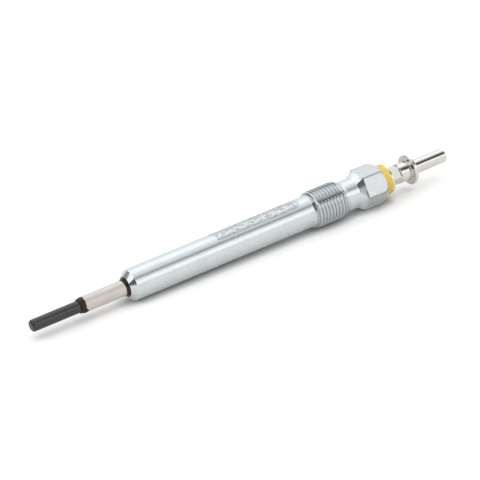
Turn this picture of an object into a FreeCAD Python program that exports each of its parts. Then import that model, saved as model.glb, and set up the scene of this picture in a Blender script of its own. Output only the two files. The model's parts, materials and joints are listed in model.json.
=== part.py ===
# Diesel glow plug with a ceramic heating rod.
#
# Every piece is drawn along the plug's own axis, which is X here: station 0 is the tip of the
# heating rod and the stations grow towards the terminal pin. One placement, worked out from the
# sizes, then lays the whole plug on a flat surface. It touches the surface with the shoulder of
# the conical seat, the front crest of the thread and the front end of one corner of the hexagon.

import FreeCAD, Part
import os
import Sketcher
from FreeCAD import Placement, Rotation, Vector

# Driving sizes in millimetres and degrees: name, value, what it is
SIZES = [
    ("rod_dia", 3.2, "ceramic rod, outside"),
    ("rod_length", 43.8, "ceramic rod, tip to rear end"),
    ("rod_tip_round", 0.75, "rounding of the rod's tip"),
    ("sleeve_station", 15.05, "tip of the rod to the sleeve's front end"),
    ("sleeve_dia", 4.2, "heater sleeve, outside"),
    ("sleeve_wall", 0.4, "heater sleeve, wall"),
    ("rod_behind_sleeve", 5.3, "ceramic rod standing out behind the sleeve"),
    ("sleeve_chamfer", 0.12, "chamfer on the sleeve's rear edge"),
    ("rod_braze_front", 1.1, "braze bead standing in front of the sleeve"),
    ("rod_braze_face", 0.27, "height of the bead's blunt front face"),
    ("nose_station", 28.1, "tip of the rod to the rim of the nose"),
    ("nose_dia", 5.6, "rim of the nose, outside"),
    ("mouth_dia", 5.4, "countersink in the mouth of the nose"),
    ("mouth_depth", 0.6, "depth of that countersink"),
    ("nose_braze_front", 0.9, "braze in the mouth, length in front of the rim"),
    ("seat_angle", 90, "full angle of the conical seat"),
    ("shoulder_round", 0.35, "rounding between seat and body"),
    ("body_dia", 8.35, "plain body"),
    ("shank_length", 55.9, "rim of the nose to the end of the plain body"),
    ("thread_dia", 10.0, "major diameter of the thread"),
    ("thread_lead_in", 27.5, "slope of the thread's front chamfer to the axis"),
    ("thread_length", 7.5, "thread at full diameter"),
    ("thread_run_out", 22.5, "slope of the thread's rear chamfer to the axis"),
    ("lead_in_round", 1.2, "hollow rounding in front of the thread"),
    ("neck_dia", 8.15, "neck between thread and hexagon"),
    ("neck_length", 3.45, "length of the neck"),
    ("collar_length", 1.75, "change of shape from round neck to hexagon"),
    ("hex_across", 9.8, "hexagon, across the flats"),
    ("hex_length", 6.35, "hexagon, length"),
    ("hex_chamfer", 26.6, "mean slope of the hexagon's crowned rear end to the axis"),
    ("hex_face_drop", 0.05, "rear face of the hexagon inside its flats, on the radius"),
    ("sleeve_behind_seat", 1.0, "sleeve standing out behind the bore that holds it"),
    ("main_bore_dia", 5.6, "bore along the body"),
    ("seal_bore_dia", 6.6, "bore for the seals and the bush"),
    ("seal_bore_depth", 7.4, "depth of that bore from the rear face"),
    ("element_dia", 0.64, "heating element, thickness of each leg"),
    ("element_spread", 1.3, "heating element, between the centres of its legs"),
    ("element_tip", 0.9, "ceramic in front of the heating element"),
    ("element_legs", 9.6, "tip of the rod to the rear end of the legs"),
    ("lead_dia", 0.3, "buried leads"),
    ("ground_inside", 7.95, "front end of the sleeve to the ground electrode"),
    ("supply_before_end", 2.4, "supply electrode's front to the rod's rear end"),
    ("electrode_length", 1.2, "electrodes along the rod"),
    ("electrode_width", 0.7, "electrodes across the rod"),
    ("electrode_depth", 1.2, "electrodes from the rod's surface inwards"),
    ("ring_dia", 4.4, "contact ring, outside"),
    ("ring_length", 4.0, "contact ring, length over the rod"),
    ("ring_floor", 0.5, "contact ring, closed end"),
    ("spigot_dia", 1.5, "spigots inside the connecting coil"),
    ("spigot_length", 1.6, "length of those spigots"),
    ("coil_wire", 0.46, "connecting coil, wire"),
    ("coil_pitch", 1.05, "connecting coil, pitch"),
    ("coil_turns", 7, "connecting coil, turns"),
    ("tube_wall", 0.3, "insulating tube, wall"),
    ("tube_start", 0.5, "sleeve's rear end to the front of the insulating tube"),
    ("tube_length", 17.0, "insulating tube, length"),
    ("centre_rod_dia", 3.2, "centre rod"),
    ("centre_rod_in_barrel", 5.4, "centre rod inside the terminal's barrel"),
    ("centring_station", 71.0, "tip of the heating rod to the centring ring"),
    ("centring_length", 4.0, "centring ring, length"),
    ("seal_squeeze", 0.04, "room left between a seal, the rod and the bore"),
    ("bush_flange_dia", 8.4, "insulating bush, flange"),
    ("bush_flange_length", 2.15, "insulating bush, flange thickness"),
    ("bush_round", 0.2, "rounding of the flange's rear edge"),
    ("bush_shank_length", 3.8, "insulating bush, shank inside the housing"),
    ("washer_dia", 8.15, "terminal washer"),
    ("washer_thickness", 0.65, "terminal washer"),
    ("barrel_dia", 5.26, "terminal, barrel"),
    ("barrel_length", 6.7, "terminal, washer to flange"),
    ("barrel_bore_depth", 5.7, "terminal, depth of the bore in the barrel"),
    ("crimp_across", 4.36, "crimped hexagon, across its flats"),
    ("crimp_station", 0.75, "washer to the start of the crimp's flats"),
    ("crimp_length", 2.3, "crimp's flats"),
    ("crimp_run_out", 0.55, "slope at each end of the crimp"),
    ("flange_dia", 8.15, "terminal, flange"),
    ("flange_thickness", 1.0, "terminal, flange"),
    ("flange_round", 0.28, "terminal, rounding of the flange"),
    ("pin_dia", 3.86, "terminal, plug-in pin"),
    ("pin_length", 10.9, "terminal, plug-in pin"),
    ("pin_round", 0.45, "terminal, rounding of the pin's end"),
    ("fit_gap", 0.02, "room between two pieces that fit into each other, on the radius"),
    ("face_gap", 0.02, "room between two faces that meet"),
]

# Stations and radii that follow from the sizes: name, formula
DERIVED = [
    ("rod_r", "Size.rod_dia / 2"),
    ("sleeve_r", "Size.sleeve_dia / 2"),
    ("sleeve_bore_r", "At.sleeve_r - Size.sleeve_wall"),
    ("sleeve_end", "Size.rod_length - Size.rod_behind_sleeve"),
    ("ground_station", "Size.sleeve_station + Size.ground_inside"),
    ("supply_station", "Size.rod_length - Size.supply_before_end"),
    ("nose_r", "Size.nose_dia / 2"),
    ("body_r", "Size.body_dia / 2"),
    ("seat_end", "Size.nose_station + (At.body_r - At.nose_r) / tan(Size.seat_angle / 2)"),
    ("shank_end", "Size.nose_station + Size.shank_length"),
    ("thread_r", "Size.thread_dia / 2"),
    ("crest_start", "At.shank_end + (At.thread_r - At.body_r) / tan(Size.thread_lead_in)"),
    ("crest_end", "At.crest_start + Size.thread_length"),
    ("neck_r", "Size.neck_dia / 2"),
    ("neck_start", "At.crest_end + (At.thread_r - At.neck_r) / tan(Size.thread_run_out)"),
    ("neck_end", "At.neck_start + Size.neck_length"),
    ("hex_front", "At.neck_end + Size.collar_length"),
    ("hex_rear", "At.hex_front + Size.hex_length"),
    ("hex_flat_r", "Size.hex_across / 2"),
    ("hex_corner_r", "At.hex_flat_r / cos(30)"),
    ("hex_face_r", "At.hex_flat_r - Size.hex_face_drop"),
    ("crown_start", "At.hex_rear - (At.hex_corner_r - At.hex_face_r) / tan(Size.hex_chamfer)"),
    ("sleeve_seat_r", "At.sleeve_r + Size.fit_gap"),
    ("sleeve_seat_end", "At.sleeve_end - Size.sleeve_behind_seat"),
    ("main_bore_r", "Size.main_bore_dia / 2"),
    ("seal_bore_r", "Size.seal_bore_dia / 2"),
    ("seal_bore_start", "At.hex_rear - Size.seal_bore_depth"),
    ("centre_rod_r", "Size.centre_rod_dia / 2"),
    ("rod_fit_r", "At.centre_rod_r + Size.fit_gap"),
    ("spigot_r", "Size.spigot_dia / 2"),
    ("ring_start", "Size.rod_length - Size.ring_length"),
    ("ring_end", "Size.rod_length + Size.face_gap + Size.ring_floor"),
    ("coil_start", "At.ring_end + Size.coil_wire / 2 + Size.face_gap"),
    ("coil_travel", "Size.coil_pitch * Size.coil_turns"),
    ("coil_r", "At.spigot_r + Size.fit_gap + Size.coil_wire / 2"),
    ("centre_rod_start", "At.coil_start + At.coil_travel + Size.coil_wire / 2 + Size.face_gap"),
    ("tube_front", "At.sleeve_end + Size.tube_start"),
    ("tube_r", "At.main_bore_r - Size.fit_gap"),
    ("seal_cord_r", "(At.seal_bore_r - At.centre_rod_r) / 2 - Size.seal_squeeze"),
    ("seal_mid_r", "(At.seal_bore_r + At.centre_rod_r) / 2"),
    ("seal_front", "At.seal_bore_start + At.seal_cord_r + Size.face_gap"),
    ("seal_rear", "At.seal_front + 2 * At.seal_cord_r + Size.face_gap"),
    ("bush_front", "At.hex_rear + Size.face_gap"),
    ("bush_rear", "At.bush_front + Size.bush_flange_length"),
    ("washer_rear", "At.bush_rear + Size.washer_thickness"),
    ("barrel_r", "Size.barrel_dia / 2"),
    ("flange_front", "At.washer_rear + Size.barrel_length"),
    ("flange_rear", "At.flange_front + Size.flange_thickness"),
    ("pin_r", "Size.pin_dia / 2"),
    ("pin_end", "At.flange_rear + Size.pin_length"),
    ("crimp_front", "At.washer_rear + Size.crimp_station"),
    ("crimp_rear", "At.crimp_front + Size.crimp_length"),
    ("tilt", "atan((At.thread_r - At.body_r) / (At.crest_start - At.seat_end))"),
    ("lift", "(At.body_r - At.seat_end * tan(At.tilt)) * cos(At.tilt)"),
    ("hex_clearance", "At.lift / cos(At.tilt) + At.hex_front * tan(At.tilt)"),
    ("hex_turn", "30 deg - acos(min(1; At.hex_clearance / At.hex_corner_r))"),
]

doc = FreeCAD.newDocument("glow_plug")


def fill_sheet():
    """Put the driving sizes in the sheet, one row each."""
    sheet = doc.addObject("Spreadsheet::Sheet", "Size")
    for row, (name, value, meaning) in enumerate(SIZES, start=1):
        sheet.set(f"A{row}", name)
        sheet.set(f"B{row}", str(value))
        sheet.set(f"C{row}", meaning)
        sheet.setAlias(f"B{row}", name)
    doc.recompute()


def fill_derived():
    """Hold the stations and radii that follow from the sheet."""
    derived = doc.addObject("App::VarSet", "At")
    for name, formula in DERIVED:
        derived.addProperty("App::PropertyFloat", name, "Derived")
        derived.setExpression(name, formula)
        doc.recompute()
    return derived


fill_sheet()
at = fill_derived()


def number(formula):
    """Value of a formula as a plain number."""
    value = at.evalExpression(formula)
    return float(getattr(value, "Value", value))


def new_body(name):
    """Start a piece: its label names its file, and its placement lays it down with the rest."""
    body = doc.addObject("PartDesign::Body", name)
    body.Label = name
    body.Placement = Placement(Vector(0, 0, 0), Rotation(Vector(0, -1, 0), 1))
    body.setExpression("Placement.Rotation.Angle", "At.tilt")
    body.setExpression("Placement.Base.x", "-At.pin_end * cos(At.tilt) / 2")
    body.setExpression("Placement.Base.z", "At.lift")
    return body


def new_sketch(body, name, role, offset=None):
    """Sketch on one of the body's own planes, moved along its normal by a formula."""
    plane = next(o for o in body.Origin.OriginFeatures if o.Role == role)
    sketch = body.newObject("Sketcher::SketchObject", name)
    sketch.AttachmentSupport = [(plane, "")]
    sketch.MapMode = "FlatFace"
    if offset:
        sketch.setExpression("AttachmentOffset.Base.z", offset)
    return sketch


def bind(sketch, kind, geo, point, formula, name):
    """Tie a point's distance from the origin, along X or Y, to a formula."""
    value = number(formula)
    if abs(value) < 1e-9:
        axis = -1 if kind == "DistanceY" else -2
        sketch.addConstraint(Sketcher.Constraint("PointOnObject", geo, point, axis))
        return
    if value > 0:
        index = sketch.addConstraint(Sketcher.Constraint(kind, -1, 1, geo, point, value))
    else:
        index = sketch.addConstraint(Sketcher.Constraint(kind, geo, point, -1, 1, -value))
        formula = f"-({formula})"
    sketch.renameConstraint(index, name)
    sketch.setExpression(f"Constraints.{name}", formula)


def outline(sketch, corners):
    """Closed outline of straight lines through corners given as pairs of formulas."""
    spots = [Vector(number(x), number(y), 0) for x, y in corners]
    count = len(spots)
    for i in range(count):
        sketch.addGeometry(Part.LineSegment(spots[i], spots[(i + 1) % count]), False)
    for i in range(count):
        sketch.addConstraint(Sketcher.Constraint("Coincident", i, 2, (i + 1) % count, 1))
    for i, (x, y) in enumerate(corners):
        bind(sketch, "DistanceX", i, 1, x, f"x{i}")
        bind(sketch, "DistanceY", i, 1, y, f"y{i}")


def disc(sketch, x, y, radius):
    """Circle at a centre, all three given as formulas."""
    centre = Vector(number(x), number(y), 0)
    sketch.addGeometry(Part.Circle(centre, Vector(0, 0, 1), number(radius)), False)
    bind(sketch, "DistanceX", 0, 3, x, "x")
    bind(sketch, "DistanceY", 0, 3, y, "y")
    index = sketch.addConstraint(Sketcher.Constraint("Radius", 0, number(radius)))
    sketch.renameConstraint(index, "r")
    sketch.setExpression("Constraints.r", radius)


def turn(body, name, corners, kind="PartDesign::Revolution"):
    """Turn an outline of (station, radius) pairs about the plug's axis."""
    sketch = new_sketch(body, f"{name}_outline", "XZ_Plane")
    outline(sketch, corners)
    return revolve(body, name, sketch, kind)


def revolve(body, name, sketch, kind):
    """Full turn of a sketch about the plug's axis, checked to add or to cut."""
    before = body.Shape.Volume if kind == "PartDesign::Groove" else 0
    feature = body.newObject(kind, name)
    feature.Profile = sketch
    feature.ReferenceAxis = (sketch, ["H_Axis"])
    feature.Angle = 360
    doc.recompute()
    if kind == "PartDesign::Groove" and not body.Shape.Volume < before:
        raise RuntimeError(f"{name} cuts nothing")
    return feature


def extrude(body, name, sketch, length, kind="PartDesign::Pad"):
    """Pad a sketch towards the pin, or cut it that way."""
    before = body.Shape.Volume if kind == "PartDesign::Pocket" else 0
    feature = body.newObject(kind, name)
    feature.Profile = sketch
    feature.setExpression("Length", length)
    if kind == "PartDesign::Pocket":
        feature.Reversed = True
    doc.recompute()
    if kind == "PartDesign::Pocket" and not body.Shape.Volume < before:
        raise RuntimeError(f"{name} cuts nothing")
    return feature


def ring_edges(feature, station, radius):
    """Names of the round edges of a feature at one station and radius."""
    names = []
    for i, edge in enumerate(feature.Shape.Edges, start=1):
        curve = edge.Curve
        if isinstance(curve, Part.Circle):
            same_station = abs(curve.Center.x - number(station)) < 1e-4
            if same_station and abs(curve.Radius - number(radius)) < 1e-4:
                names.append(f"Edge{i}")
    if not names:
        raise RuntimeError(f"no edge at station {station}")
    return names


def round_edges(body, name, places, radius, kind="PartDesign::Fillet", prop="Radius"):
    """Round, or chamfer, the edges at (station, radius) places."""
    base = body.Tip
    names = [edge for station, r in places for edge in ring_edges(base, station, r)]
    feature = body.newObject(kind, name)
    feature.Base = (base, names)
    feature.setExpression(prop, radius)
    doc.recompute()
    return feature


# Housing

def make_housing():
    """Hollow steel body: conical seat, plain body, thread at its major diameter, neck, hexagon."""
    body = new_body("housing")
    turn(body, "turned_body", [
        ("Size.nose_station", "0"),
        ("Size.nose_station", "At.nose_r"),
        ("At.seat_end", "At.body_r"),
        ("At.shank_end", "At.body_r"),
        ("At.crest_start", "At.thread_r"),
        ("At.crest_end", "At.thread_r"),
        ("At.neck_start", "At.neck_r"),
        ("At.neck_end", "At.neck_r"),
        ("At.neck_end", "0"),
    ])
    round_edges(body, "shoulder_rounding", [("At.seat_end", "At.body_r")], "Size.shoulder_round")
    round_edges(body, "lead_in_rounding", [("At.shank_end", "At.body_r")], "Size.lead_in_round")
    make_collar(body)
    hexagon = turned_sketch(body, "hexagon", "At.hex_front")
    outline(hexagon, hexagon_corners())
    extrude(body, "hexagon_pad", hexagon, "Size.hex_length")
    crown_hexagon(body)
    turn(body, "bores", [
        ("Size.nose_station - 1", "0"),
        ("Size.nose_station - 1", "Size.mouth_dia / 2"),
        ("Size.nose_station", "Size.mouth_dia / 2"),
        ("Size.nose_station + Size.mouth_depth", "At.sleeve_seat_r"),
        ("At.sleeve_seat_end", "At.sleeve_seat_r"),
        ("At.sleeve_seat_end", "At.main_bore_r"),
        ("At.seal_bore_start", "At.main_bore_r"),
        ("At.seal_bore_start", "At.seal_bore_r"),
        ("At.hex_rear + 1", "At.seal_bore_r"),
        ("At.hex_rear + 1", "0"),
    ], "PartDesign::Groove")
    return body


def turned_sketch(body, name, station):
    """Sketch square to the axis, turned about it until the hexagon's corner meets the surface."""
    sketch = new_sketch(body, name, "YZ_Plane", station)
    sketch.setExpression("AttachmentOffset.Rotation.Angle", "At.hex_turn")
    return sketch


def hexagon_corners():
    """Corners of the hexagon in its turned sketch, as (across, up) formulas."""
    half = "At.hex_corner_r / 2"
    return [
        ("At.hex_corner_r", "0"),
        (half, "At.hex_flat_r"),
        (f"-{half}", "At.hex_flat_r"),
        ("-At.hex_corner_r", "0"),
        (f"-{half}", "-At.hex_flat_r"),
        (half, "-At.hex_flat_r"),
    ]


def make_collar(body):
    """Ruled change of shape from the round neck to the hexagon."""
    neck = turned_sketch(body, "collar_round", "At.neck_end")
    disc(neck, "0", "0", "At.neck_r")
    front = turned_sketch(body, "collar_hexagon", "At.hex_front")
    outline(front, hexagon_corners())
    loft = body.newObject("PartDesign::AdditiveLoft", "collar")
    loft.Profile = neck
    loft.Sections = [front]
    loft.Ruled = True
    doc.recompute()


def crown_hexagon(body):
    """Round off the rear end of the hexagon: a ball surface centred on the axis."""
    corners = [
        ("At.crown_start", "At.hex_corner_r"),
        ("At.hex_rear", "At.hex_face_r"),
        ("At.hex_rear + 1", "At.hex_face_r"),
        ("At.hex_rear + 1", "At.hex_corner_r + 1"),
        ("At.crown_start", "At.hex_corner_r + 1"),
    ]
    sketch = new_sketch(body, "crown_outline", "XZ_Plane")
    spots = [Vector(number(x), number(y), 0) for x, y in corners]
    high, low = spots[0], spots[1]
    centre = Vector((low.dot(low) - high.dot(high)) / (low.x - high.x) / 2, 0, 0)
    middle = ((high + low) / 2 - centre).normalize() * (high - centre).Length
    sketch.addGeometry(Part.Arc(low, centre + middle, high), False)
    for i in range(1, 5):
        sketch.addGeometry(Part.LineSegment(spots[i], spots[(i + 1) % 5]), False)
    sketch.addConstraint(Sketcher.Constraint("Coincident", 0, 1, 1, 1))
    sketch.addConstraint(Sketcher.Constraint("Coincident", 4, 2, 0, 2))
    for i in range(1, 4):
        sketch.addConstraint(Sketcher.Constraint("Coincident", i, 2, i + 1, 1))
    sketch.addConstraint(Sketcher.Constraint("PointOnObject", 0, 3, -1))
    for i, (x, y) in enumerate(corners):
        point = 2 if i == 0 else 1
        bind(sketch, "DistanceX", i, point, x, f"x{i}")
        bind(sketch, "DistanceY", i, point, y, f"y{i}")
    revolve(body, "crown", sketch, "PartDesign::Groove")


# Heater

def make_sleeve():
    """Plain tube, held in the nose and standing out of it."""
    body = new_body("heater_sleeve")
    turn(body, "tube", [
        ("Size.sleeve_station", "At.sleeve_bore_r"),
        ("Size.sleeve_station", "At.sleeve_r"),
        ("At.sleeve_end", "At.sleeve_r"),
        ("At.sleeve_end", "At.sleeve_bore_r"),
    ])
    round_edges(body, "rear_chamfer", [("At.sleeve_end", "At.sleeve_r")], "Size.sleeve_chamfer",
                "PartDesign::Chamfer", "Size")
    return body


def make_rod_braze():
    """Bead in front of the sleeve and the film between rod and sleeve."""
    body = new_body("rod_braze")
    inner = "At.rod_r + Size.fit_gap"
    front = "Size.sleeve_station - Size.rod_braze_front"
    face = "Size.sleeve_station - Size.face_gap"
    turn(body, "bead_and_film", [
        (front, inner),
        (f"{front} + Size.rod_braze_face / 2", "At.rod_r + Size.rod_braze_face"),
        (face, "At.sleeve_r - Size.fit_gap"),
        (face, "At.sleeve_bore_r - Size.fit_gap"),
        ("At.sleeve_end", "At.sleeve_bore_r - Size.fit_gap"),
        ("At.sleeve_end", inner),
    ])
    return body


def make_nose_braze():
    """Braze that fills the countersunk mouth and climbs the sleeve."""
    body = new_body("nose_braze")
    turn(body, "mouth_fillet", [
        ("Size.nose_station - Size.nose_braze_front", "At.sleeve_r + Size.fit_gap"),
        ("Size.nose_station - Size.nose_braze_front / 3", "At.sleeve_r + Size.nose_braze_front / 3"),
        ("Size.nose_station - Size.face_gap", "Size.mouth_dia / 2 - Size.fit_gap"),
        ("Size.nose_station + Size.mouth_depth - 2 * Size.face_gap", "At.sleeve_r + Size.fit_gap"),
    ])
    return body


def buried_pipe(body, name, kind, thickness):
    """Hairpin path of the heating element, added or cut at one thickness."""
    leg = "Size.element_spread / 2"
    bend = "Size.element_tip + Size.element_dia / 2 + Size.element_spread / 2"
    path = new_sketch(body, f"{name}_path", "XY_Plane")
    rear = number("Size.element_legs")
    front = number(bend)
    half = number(leg)
    path.addGeometry(Part.LineSegment(Vector(rear, half, 0), Vector(front, half, 0)), False)
    path.addGeometry(Part.Arc(Vector(front, half, 0), Vector(front - half, 0, 0),
                              Vector(front, -half, 0)), False)
    path.addGeometry(Part.LineSegment(Vector(front, -half, 0), Vector(rear, -half, 0)), False)
    bind(path, "DistanceX", 0, 1, "Size.element_legs", "rear")
    bind(path, "DistanceY", 0, 1, leg, "half")
    path.addConstraint(Sketcher.Constraint("Horizontal", 0))
    path.addConstraint(Sketcher.Constraint("Horizontal", 2))
    path.addConstraint(Sketcher.Constraint("Tangent", 0, 2, 1, arc_end(path, half)))
    path.addConstraint(Sketcher.Constraint("Tangent", 1, arc_end(path, -half), 2, 1))
    path.addConstraint(Sketcher.Constraint("PointOnObject", 1, 3, -1))
    path.addConstraint(Sketcher.Constraint("Vertical", 0, 1, 2, 2))
    bind(path, "DistanceX", 1, 3, bend, "bend")
    section = new_sketch(body, f"{name}_section", "YZ_Plane", "Size.element_legs")
    disc(section, leg, "0", thickness)
    pipe = body.newObject(kind, name)
    pipe.Profile = section
    pipe.Spine = (path, [])
    doc.recompute()
    return pipe


def arc_end(sketch, y):
    """Which end of the path's arc lies at height y: 1 for its start, 2 for its end."""
    return 1 if abs(sketch.Geometry[1].StartPoint.y - y) < 1e-6 else 2


def electrode_pad(body, name, station, side, gap, kind):
    """Radial contact pad at a station, on the side +1 or -1, widened by a gap when it is cut."""
    inner = f"{side} * (At.rod_r - Size.electrode_depth - {gap})"
    outer = f"{side} * (At.rod_r + 1)"
    start = f"{station} - {gap}"
    end = f"{station} + Size.electrode_length + {gap}"
    sketch = new_sketch(body, f"{name}_plan", "XY_Plane")
    outline(sketch, [(start, inner), (end, inner), (end, outer), (start, outer)])
    feature = body.newObject(kind, name)
    feature.Profile = sketch
    feature.setExpression("Length", f"Size.electrode_width + 2 * {gap}")
    feature.Midplane = True
    doc.recompute()


def make_element():
    """Conductive ceramic hairpin inside the tip of the rod."""
    body = new_body("heating_element")
    buried_pipe(body, "hairpin", "PartDesign::AdditivePipe", "Size.element_dia / 2")
    return body


def make_lead(name, station, side):
    """Straight buried lead from one leg of the hairpin to its electrode."""
    body = new_body(name)
    section = new_sketch(body, "section", "YZ_Plane", "Size.element_legs + Size.face_gap")
    disc(section, f"{side} * Size.element_spread / 2", "0", "Size.lead_dia / 2")
    extrude(body, "wire", section, f"{station} - Size.element_legs - 3 * Size.face_gap")
    return body


def make_electrode(name, station, side):
    """Contact pad, rounded off flush with the rod."""
    body = new_body(name)
    electrode_pad(body, "pad", station, side, "0", "PartDesign::Pad")
    turn(body, "flush", [
        (f"{station} - 1", "At.rod_r"),
        (f"{station} + Size.electrode_length + 1", "At.rod_r"),
        (f"{station} + Size.electrode_length + 1", "At.rod_r + 3"),
        (f"{station} - 1", "At.rod_r + 3"),
    ], "PartDesign::Groove")
    return body


def make_ceramic_rod():
    """Rod with a rounded tip and the channels for what is buried in it."""
    body = new_body("ceramic_rod")
    turn(body, "cylinder", [
        ("0", "0"),
        ("0", "At.rod_r"),
        ("Size.rod_length", "At.rod_r"),
        ("Size.rod_length", "0"),
    ])
    round_edges(body, "tip_rounding", [("0", "At.rod_r")], "Size.rod_tip_round")
    buried_pipe(body, "hairpin_channel", "PartDesign::SubtractivePipe",
                "Size.element_dia / 2 + Size.fit_gap")
    for name, station, side in buried_leads():
        section = new_sketch(body, f"{name}_section", "YZ_Plane", "Size.element_legs - 0.5")
        disc(section, f"{side} * Size.element_spread / 2", "0", "Size.lead_dia / 2 + Size.fit_gap")
        extrude(body, f"{name}_channel", section, f"{station} - Size.element_legs + 0.6",
                "PartDesign::Pocket")
        electrode_pad(body, f"{name}_pocket", station, side, "Size.face_gap",
                      "PartDesign::Pocket")
    return body


def buried_leads():
    """Name, electrode station and side of each buried lead."""
    return [
        ("supply", "At.supply_station", "1"),
        ("ground", "At.ground_station", "-1"),
    ]


# Current path inside the housing

def make_contact_ring():
    """Cap pressed on the rear of the ceramic rod, with a spigot for the coil."""
    body = new_body("contact_ring")
    turn(body, "cap", [
        ("At.ring_start", "At.rod_r + Size.fit_gap"),
        ("At.ring_start", "Size.ring_dia / 2"),
        ("At.ring_end", "Size.ring_dia / 2"),
        ("At.ring_end", "At.spigot_r"),
        ("At.ring_end + Size.spigot_length", "At.spigot_r"),
        ("At.ring_end + Size.spigot_length", "0"),
        ("Size.rod_length + Size.face_gap", "0"),
        ("Size.rod_length + Size.face_gap", "At.rod_r + Size.fit_gap"),
    ])
    return body


def make_coil():
    """Wire coil that grips both spigots."""
    body = new_body("connecting_coil")
    section = new_sketch(body, "wire_section", "XZ_Plane")
    disc(section, "At.coil_start", "At.coil_r", "Size.coil_wire / 2")
    helix = body.newObject("PartDesign::AdditiveHelix", "winding")
    helix.Profile = section
    helix.ReferenceAxis = (section, ["H_Axis"])
    helix.Mode = 0
    helix.setExpression("Pitch", "Size.coil_pitch")
    helix.setExpression("Height", "At.coil_travel")
    doc.recompute()
    return body


def make_insulating_tube():
    """Thin tube that lines the bore round the contact ring and the coil."""
    body = new_body("insulating_tube")
    turn(body, "lining", [
        ("At.tube_front", "At.tube_r - Size.tube_wall"),
        ("At.tube_front", "At.tube_r"),
        ("At.tube_front + Size.tube_length", "At.tube_r"),
        ("At.tube_front + Size.tube_length", "At.tube_r - Size.tube_wall"),
    ])
    return body


def make_centre_rod():
    """Long rod with a spigot for the coil at its front end."""
    body = new_body("centre_rod")
    spigot = "At.centre_rod_start - Size.spigot_length"
    end = "At.washer_rear + Size.centre_rod_in_barrel"
    turn(body, "rod", [
        (spigot, "0"),
        (spigot, "At.spigot_r"),
        ("At.centre_rod_start", "At.spigot_r"),
        ("At.centre_rod_start", "At.centre_rod_r"),
        (end, "At.centre_rod_r"),
        (end, "0"),
    ])
    return body


def make_centring_ring():
    """Plastic ring that keeps the middle of the centre rod off the wall."""
    body = new_body("centring_ring")
    turn(body, "ring", [
        ("Size.centring_station", "At.rod_fit_r"),
        ("Size.centring_station", "At.tube_r"),
        ("Size.centring_station + Size.centring_length", "At.tube_r"),
        ("Size.centring_station + Size.centring_length", "At.rod_fit_r"),
    ])
    return body


# Insulation and seals at the rear

def make_seal(name, station):
    """Round rubber ring between the centre rod and the housing."""
    body = new_body(name)
    section = new_sketch(body, "cord_section", "XZ_Plane")
    disc(section, station, "At.seal_mid_r", "At.seal_cord_r")
    revolve(body, "cord", section, "PartDesign::Revolution")
    return body


def make_bush():
    """Insulating bush: flange behind the hexagon, shank that holds the seals in."""
    body = new_body("insulating_bush")
    shank_front = "At.bush_front - Size.bush_shank_length"
    shank_r = "At.seal_bore_r - Size.fit_gap"
    flange_r = "Size.bush_flange_dia / 2"
    turn(body, "shank_and_flange", [
        (shank_front, "At.rod_fit_r"),
        (shank_front, shank_r),
        ("At.bush_front", shank_r),
        ("At.bush_front", flange_r),
        ("At.bush_rear", flange_r),
        ("At.bush_rear", "At.rod_fit_r"),
    ])
    round_edges(body, "flange_rounding", [("At.bush_rear", flange_r)], "Size.bush_round")
    return body


# Terminal

def make_washer():
    """Flat washer between the bush and the terminal."""
    body = new_body("terminal_washer")
    turn(body, "plate", [
        ("At.bush_rear", "At.rod_fit_r"),
        ("At.bush_rear", "Size.washer_dia / 2"),
        ("At.washer_rear", "Size.washer_dia / 2"),
        ("At.washer_rear", "At.rod_fit_r"),
    ])
    return body


def make_terminal():
    """Barrel, flange and plug-in pin in one piece, its barrel crimped to a hexagon."""
    body = new_body("terminal_pin")
    bore_end = "At.washer_rear + Size.barrel_bore_depth"
    flange_r = "Size.flange_dia / 2"
    turn(body, "turned_terminal", [
        ("At.washer_rear", "At.rod_fit_r"),
        ("At.washer_rear", "At.barrel_r"),
        ("At.flange_front", "At.barrel_r"),
        ("At.flange_front", flange_r),
        ("At.flange_rear", flange_r),
        ("At.flange_rear", "At.pin_r"),
        ("At.pin_end", "At.pin_r"),
        ("At.pin_end", "0"),
        (bore_end, "0"),
        (bore_end, "At.rod_fit_r"),
    ])
    rims = [("At.flange_front", flange_r), ("At.flange_rear", flange_r)]
    round_edges(body, "flange_rounding", rims, "Size.flange_round")
    round_edges(body, "pin_rounding", [("At.pin_end", "At.pin_r")], "Size.pin_round")
    crimp_barrel(body)
    return body


def crimp_barrel(body):
    """Press six flats with sloping ends into the barrel."""
    flat = "Size.crimp_across / 2"
    above = "At.barrel_r + 0.5"
    die = new_sketch(body, "crimping_die", "XZ_Plane")
    outline(die, [
        ("At.crimp_front", flat),
        ("At.crimp_rear", flat),
        ("At.crimp_rear + Size.crimp_run_out", "At.barrel_r"),
        ("At.crimp_rear + Size.crimp_run_out", above),
        ("At.crimp_front - Size.crimp_run_out", above),
        ("At.crimp_front - Size.crimp_run_out", "At.barrel_r"),
    ])
    before = body.Shape.Volume
    flat_cut = body.newObject("PartDesign::Pocket", "crimp_flat")
    flat_cut.Profile = die
    flat_cut.setExpression("Length", "Size.barrel_dia + 1")
    flat_cut.Midplane = True
    doc.recompute()
    one_flat = before - body.Shape.Volume
    pattern = body.newObject("PartDesign::PolarPattern", "crimp_flats")
    pattern.Originals = [flat_cut]
    pattern.Axis = (die, ["H_Axis"])
    pattern.Angle = 360
    pattern.Occurrences = 6
    body.Tip = pattern
    doc.recompute()
    if not before - body.Shape.Volume > 4 * one_flat > 0:
        raise RuntimeError("the crimp lacks flats")


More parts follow.
